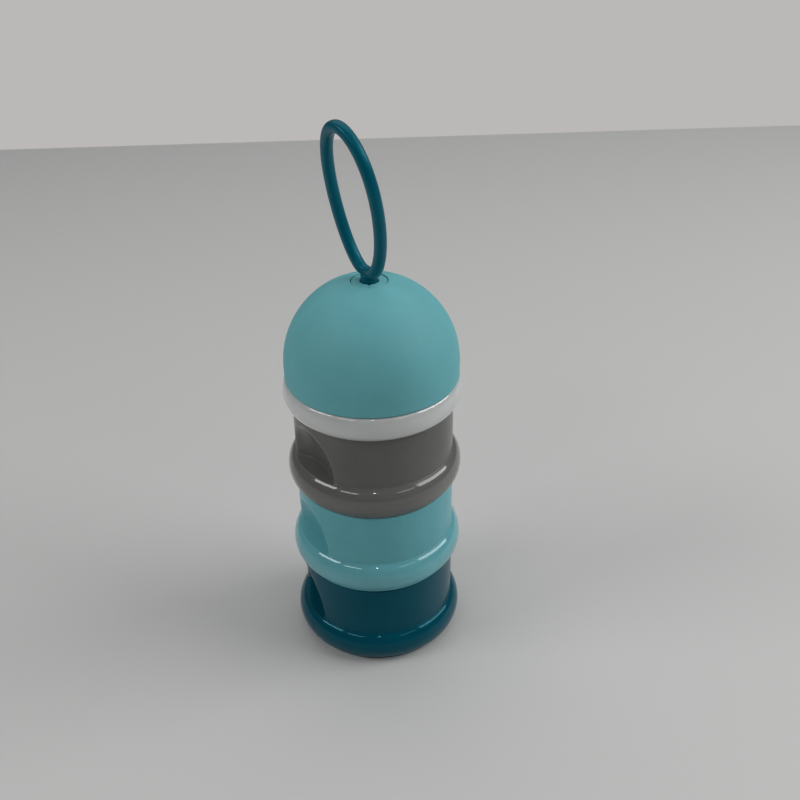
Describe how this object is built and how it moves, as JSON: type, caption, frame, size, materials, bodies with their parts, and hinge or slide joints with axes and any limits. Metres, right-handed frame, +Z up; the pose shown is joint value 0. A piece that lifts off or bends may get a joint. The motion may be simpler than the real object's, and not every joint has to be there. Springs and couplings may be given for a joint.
{
  "type": "formula dispenser",
  "caption": "Stacking milk-powder dispenser: screwed round compartments with thumb dimples, a white pouring funnel, a dome cap that lifts off and an elastomer carry loop.",
  "frame": {"origin": "centre of the base compartment's underside, on the plane the stack stands on", "axes": "+Z up along the stack's axis; -Y is the front, where the top compartment's thumb dimple faces; the carry loop's width runs along X"},
  "size_m": [0.0744, 0.0744, 0.2352],
  "materials": {
    "teal_plastic": "satin wall, glossy rim",
    "lower_silicone": "soft, slightly translucent",
    "turquoise_plastic": "satin wall, glossy rim",
    "upper_silicone": "soft, slightly translucent",
    "taupe_plastic": "satin wall, glossy rim",
    "funnel_silicone": "soft, slightly translucent",
    "white_plastic": "glossy",
    "aqua_dome_plastic": "fine matt grain",
    "aqua_disc_plastic": "satin",
    "stem_elastomer": "satin elastomer",
    "loop_elastomer": "satin elastomer"
  },
  "bodies": {
    "base": {"base_compartment": "teal_plastic"},
    "lower_ring": {"lower_seal": "lower_silicone"},
    "middle": {"middle_compartment": "turquoise_plastic"},
    "upper_ring": {"upper_seal": "upper_silicone"},
    "upper": {"upper_compartment": "taupe_plastic"},
    "funnel_ring": {"funnel_seal": "funnel_silicone"},
    "funnel": {"spout_funnel": "white_plastic"},
    "dome": {"dome_cap": "aqua_dome_plastic", "crown_disc": "aqua_disc_plastic"},
    "stem": {"loop_stem": "stem_elastomer"},
    "loop": {"carry_loop": "loop_elastomer"}
  },
  "joints": [
    {"name": "lower_rise", "type": "slide", "parent": "base", "child": "lower_ring", "axis": [0, 0, 1], "range_m": [0, 0.008]},
    {"name": "lower_turn", "type": "hinge", "parent": "lower_ring", "child": "middle", "pos_m": [0, 0, 0.0495], "axis": [0, 0, 1], "range_deg": [0, 360]},
    {"name": "upper_rise", "type": "slide", "parent": "middle", "child": "upper_ring", "axis": [0, 0, 1], "range_m": [0, 0.008]},
    {"name": "upper_turn", "type": "hinge", "parent": "upper_ring", "child": "upper", "pos_m": [0, 0, 0.089], "axis": [0, 0, 1], "range_deg": [0, 360]},
    {"name": "funnel_rise", "type": "slide", "parent": "upper", "child": "funnel_ring", "axis": [0, 0, 1], "range_m": [0, 0.008]},
    {"name": "funnel_turn", "type": "hinge", "parent": "funnel_ring", "child": "funnel", "pos_m": [0, 0, 0.1285], "axis": [0, 0, 1], "range_deg": [0, 360]},
    {"name": "dome_pull", "type": "slide", "parent": "funnel", "child": "dome", "axis": [0, 0, 1], "range_m": [0, 0.045]},
    {"name": "loop_swivel", "type": "hinge", "parent": "dome", "child": "stem", "pos_m": [0, 0, 0.17], "axis": [0, 0, 1], "continuous": true},
    {"name": "loop_bend", "type": "hinge", "parent": "stem", "child": "loop", "pos_m": [0, -0.0008, 0.1732], "axis": [1, 0, 0], "range_deg": [-80, 70], "stiffness_Nm_per_rad": 0.01}
  ],
  "couplings": [
    {"joint": "lower_rise", "follows": "lower_turn", "m_per_rad": 0.001273},
    {"joint": "upper_rise", "follows": "upper_turn", "m_per_rad": 0.001273},
    {"joint": "funnel_rise", "follows": "funnel_turn", "m_per_rad": 0.001273}
  ]
}
